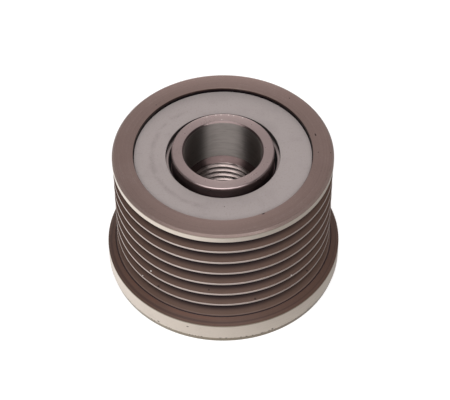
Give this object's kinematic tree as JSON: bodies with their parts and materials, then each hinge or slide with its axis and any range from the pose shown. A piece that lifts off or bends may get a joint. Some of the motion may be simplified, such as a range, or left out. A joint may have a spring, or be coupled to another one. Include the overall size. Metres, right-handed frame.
{
  "type": "overrunning alternator pulley",
  "caption": "Ribbed belt ring with a flange, turning on a one-way roller clutch and two roller bearings around a threaded hub sleeve.",
  "frame": {"origin": "centre of the flange side's face, on which the pulley stands", "axes": "+Z along the shaft axis, from the flange side to the alternator side"},
  "size_m": [0.0524, 0.0524, 0.0339],
  "materials": {
    "coated_steel": "brown coated, satin",
    "plate_steel": "matte grey, phosphated",
    "hub_steel": "turned, satin",
    "hardened_steel": "ground",
    "roller_steel": "ground, bright",
    "spring_steel": "rolled strip",
    "seal_steel": "pressed, bright",
    "seal_rubber": "matte black",
    "cage_polymer": "moulded"
  },
  "bodies": {
    "hub": {"hub_sleeve": "hub_steel", "ramp_ring": "hardened_steel", "clutch_cage": "cage_polymer", "clutch_spring_01": "spring_steel", "clutch_spring_02": "spring_steel", "clutch_spring_03": "spring_steel", "clutch_spring_04": "spring_steel", "clutch_spring_05": "spring_steel", "clutch_spring_06": "spring_steel", "clutch_spring_07": "spring_steel", "clutch_spring_08": "spring_steel"},
    "clutch_rollers": {"clutch_roller_01": "roller_steel", "clutch_roller_02": "roller_steel", "clutch_roller_03": "roller_steel", "clutch_roller_04": "roller_steel", "clutch_roller_05": "roller_steel", "clutch_roller_06": "roller_steel", "clutch_roller_07": "roller_steel", "clutch_roller_08": "roller_steel"},
    "pulley": {"pulley_ring": "coated_steel", "clutch_cup": "hardened_steel", "rear_cover_plate": "plate_steel", "rear_seal_case": "seal_steel", "rear_seal_lip": "seal_rubber", "front_seal_case": "seal_steel", "front_seal_lip": "seal_rubber"},
    "rear_cage": {"rear_bearing_cage": "cage_polymer"},
    "front_cage": {"front_bearing_cage": "cage_polymer"},
    "rear_roller_01": {"rear_roller_01": "roller_steel"},
    "rear_roller_02": {"rear_roller_02": "roller_steel"},
    "rear_roller_03": {"rear_roller_03": "roller_steel"},
    "rear_roller_04": {"rear_roller_04": "roller_steel"},
    "rear_roller_05": {"rear_roller_05": "roller_steel"},
    "rear_roller_06": {"rear_roller_06": "roller_steel"},
    "rear_roller_07": {"rear_roller_07": "roller_steel"},
    "rear_roller_08": {"rear_roller_08": "roller_steel"},
    "rear_roller_09": {"rear_roller_09": "roller_steel"},
    "rear_roller_10": {"rear_roller_10": "roller_steel"},
    "rear_roller_11": {"rear_roller_11": "roller_steel"},
    "rear_roller_12": {"rear_roller_12": "roller_steel"},
    "front_roller_01": {"front_roller_01": "roller_steel"},
    "front_roller_02": {"front_roller_02": "roller_steel"},
    "front_roller_03": {"front_roller_03": "roller_steel"},
    "front_roller_04": {"front_roller_04": "roller_steel"},
    "front_roller_05": {"front_roller_05": "roller_steel"},
    "front_roller_06": {"front_roller_06": "roller_steel"},
    "front_roller_07": {"front_roller_07": "roller_steel"},
    "front_roller_08": {"front_roller_08": "roller_steel"},
    "front_roller_09": {"front_roller_09": "roller_steel"},
    "front_roller_10": {"front_roller_10": "roller_steel"},
    "front_roller_11": {"front_roller_11": "roller_steel"},
    "front_roller_12": {"front_roller_12": "roller_steel"}
  },
  "joints": [
    {"name": "ring_spin", "type": "hinge", "parent": "hub", "child": "pulley", "pos_m": [0, 0, 0.0167], "axis": [0, 0, 1], "continuous": true},
    {"name": "clutch_roller_shift", "type": "hinge", "parent": "hub", "child": "clutch_rollers", "pos_m": [0, 0, 0.01855], "axis": [0, 0, 1], "range_deg": [-1, 0], "stiffness_Nm_per_rad": 0.3, "springref_deg": 5.73},
    {"name": "rear_cage_turn", "type": "hinge", "parent": "hub", "child": "rear_cage", "pos_m": [0, 0, 0.02585], "axis": [0, 0, 1], "continuous": true},
    {"name": "rear_roller_01_spin", "type": "hinge", "parent": "rear_cage", "child": "rear_roller_01", "pos_m": [0.01473, 0, 0.02585], "axis": [0, 0, 1], "continuous": true},
    {"name": "rear_roller_02_spin", "type": "hinge", "parent": "rear_cage", "child": "rear_roller_02", "pos_m": [0.01276, 0.00737, 0.02585], "axis": [0, 0, 1], "continuous": true},
    {"name": "rear_roller_03_spin", "type": "hinge", "parent": "rear_cage", "child": "rear_roller_03", "pos_m": [0.00737, 0.01276, 0.02585], "axis": [0, 0, 1], "continuous": true},
    {"name": "rear_roller_04_spin", "type": "hinge", "parent": "rear_cage", "child": "rear_roller_04", "pos_m": [0, 0.01473, 0.02585], "axis": [0, 0, 1], "continuous": true},
    {"name": "rear_roller_05_spin", "type": "hinge", "parent": "rear_cage", "child": "rear_roller_05", "pos_m": [-0.00737, 0.01276, 0.02585], "axis": [0, 0, 1], "continuous": true},
    {"name": "rear_roller_06_spin", "type": "hinge", "parent": "rear_cage", "child": "rear_roller_06", "pos_m": [-0.01276, 0.00737, 0.02585], "axis": [0, 0, 1], "continuous": true},
    {"name": "rear_roller_07_spin", "type": "hinge", "parent": "rear_cage", "child": "rear_roller_07", "pos_m": [-0.01473, 0, 0.02585], "axis": [0, 0, 1], "continuous": true},
    {"name": "rear_roller_08_spin", "type": "hinge", "parent": "rear_cage", "child": "rear_roller_08", "pos_m": [-0.01276, -0.00737, 0.02585], "axis": [0, 0, 1], "continuous": true},
    {"name": "rear_roller_09_spin", "type": "hinge", "parent": "rear_cage", "child": "rear_roller_09", "pos_m": [-0.00737, -0.01276, 0.02585], "axis": [0, 0, 1], "continuous": true},
    {"name": "rear_roller_10_spin", "type": "hinge", "parent": "rear_cage", "child": "rear_roller_10", "pos_m": [0, -0.01473, 0.02585], "axis": [0, 0, 1], "continuous": true},
    {"name": "rear_roller_11_spin", "type": "hinge", "parent": "rear_cage", "child": "rear_roller_11", "pos_m": [0.00737, -0.01276, 0.02585], "axis": [0, 0, 1], "continuous": true},
    {"name": "rear_roller_12_spin", "type": "hinge", "parent": "rear_cage", "child": "rear_roller_12", "pos_m": [0.01276, -0.00737, 0.02585], "axis": [0, 0, 1], "continuous": true},
    {"name": "front_cage_turn", "type": "hinge", "parent": "hub", "child": "front_cage", "pos_m": [0, 0, 0.01125], "axis": [0, 0, 1], "continuous": true},
    {"name": "front_roller_01_spin", "type": "hinge", "parent": "front_cage", "child": "front_roller_01", "pos_m": [0.01473, 0, 0.01125], "axis": [0, 0, 1], "continuous": true},
    {"name": "front_roller_02_spin", "type": "hinge", "parent": "front_cage", "child": "front_roller_02", "pos_m": [0.01276, 0.00737, 0.01125], "axis": [0, 0, 1], "continuous": true},
    {"name": "front_roller_03_spin", "type": "hinge", "parent": "front_cage", "child": "front_roller_03", "pos_m": [0.00737, 0.01276, 0.01125], "axis": [0, 0, 1], "continuous": true},
    {"name": "front_roller_04_spin", "type": "hinge", "parent": "front_cage", "child": "front_roller_04", "pos_m": [0, 0.01473, 0.01125], "axis": [0, 0, 1], "continuous": true},
    {"name": "front_roller_05_spin", "type": "hinge", "parent": "front_cage", "child": "front_roller_05", "pos_m": [-0.00737, 0.01276, 0.01125], "axis": [0, 0, 1], "continuous": true},
    {"name": "front_roller_06_spin", "type": "hinge", "parent": "front_cage", "child": "front_roller_06", "pos_m": [-0.01276, 0.00737, 0.01125], "axis": [0, 0, 1], "continuous": true},
    {"name": "front_roller_07_spin", "type": "hinge", "parent": "front_cage", "child": "front_roller_07", "pos_m": [-0.01473, 0, 0.01125], "axis": [0, 0, 1], "continuous": true},
    {"name": "front_roller_08_spin", "type": "hinge", "parent": "front_cage", "child": "front_roller_08", "pos_m": [-0.01276, -0.00737, 0.01125], "axis": [0, 0, 1], "continuous": true},
    {"name": "front_roller_09_spin", "type": "hinge", "parent": "front_cage", "child": "front_roller_09", "pos_m": [-0.00737, -0.01276, 0.01125], "axis": [0, 0, 1], "continuous": true},
    {"name": "front_roller_10_spin", "type": "hinge", "parent": "front_cage", "child": "front_roller_10", "pos_m": [0, -0.01473, 0.01125], "axis": [0, 0, 1], "continuous": true},
    {"name": "front_roller_11_spin", "type": "hinge", "parent": "front_cage", "child": "front_roller_11", "pos_m": [0.00737, -0.01276, 0.01125], "axis": [0, 0, 1], "continuous": true},
    {"name": "front_roller_12_spin", "type": "hinge", "parent": "front_cage", "child": "front_roller_12", "pos_m": [0.01276, -0.00737, 0.01125], "axis": [0, 0, 1], "continuous": true}
  ],
  "couplings": [
    {"joint": "rear_cage_turn", "follows": "ring_spin", "ratio": 0.56803},
    {"joint": "rear_roller_01_spin", "follows": "ring_spin", "ratio": 3.607},
    {"joint": "rear_roller_02_spin", "follows": "ring_spin", "ratio": 3.607},
    {"joint": "rear_roller_03_spin", "follows": "ring_spin", "ratio": 3.607},
    {"joint": "rear_roller_04_spin", "follows": "ring_spin", "ratio": 3.607},
    {"joint": "rear_roller_05_spin", "follows": "ring_spin", "ratio": 3.607},
    {"joint": "rear_roller_06_spin", "follows": "ring_spin", "ratio": 3.607},
    {"joint": "rear_roller_07_spin", "follows": "ring_spin", "ratio": 3.607},
    {"joint": "rear_roller_08_spin", "follows": "ring_spin", "ratio": 3.607},
    {"joint": "rear_roller_09_spin", "follows": "ring_spin", "ratio": 3.607},
    {"joint": "rear_roller_10_spin", "follows": "ring_spin", "ratio": 3.607},
    {"joint": "rear_roller_11_spin", "follows": "ring_spin", "ratio": 3.607},
    {"joint": "rear_roller_12_spin", "follows": "ring_spin", "ratio": 3.607},
    {"joint": "front_cage_turn", "follows": "ring_spin", "ratio": 0.56803},
    {"joint": "front_roller_01_spin", "follows": "ring_spin", "ratio": 3.607},
    {"joint": "front_roller_02_spin", "follows": "ring_spin", "ratio": 3.607},
    {"joint": "front_roller_03_spin", "follows": "ring_spin", "ratio": 3.607},
    {"joint": "front_roller_04_spin", "follows": "ring_spin", "ratio": 3.607},
    {"joint": "front_roller_05_spin", "follows": "ring_spin", "ratio": 3.607},
    {"joint": "front_roller_06_spin", "follows": "ring_spin", "ratio": 3.607},
    {"joint": "front_roller_07_spin", "follows": "ring_spin", "ratio": 3.607},
    {"joint": "front_roller_08_spin", "follows": "ring_spin", "ratio": 3.607},
    {"joint": "front_roller_09_spin", "follows": "ring_spin", "ratio": 3.607},
    {"joint": "front_roller_10_spin", "follows": "ring_spin", "ratio": 3.607},
    {"joint": "front_roller_11_spin", "follows": "ring_spin", "ratio": 3.607},
    {"joint": "front_roller_12_spin", "follows": "ring_spin", "ratio": 3.607}
  ]
}
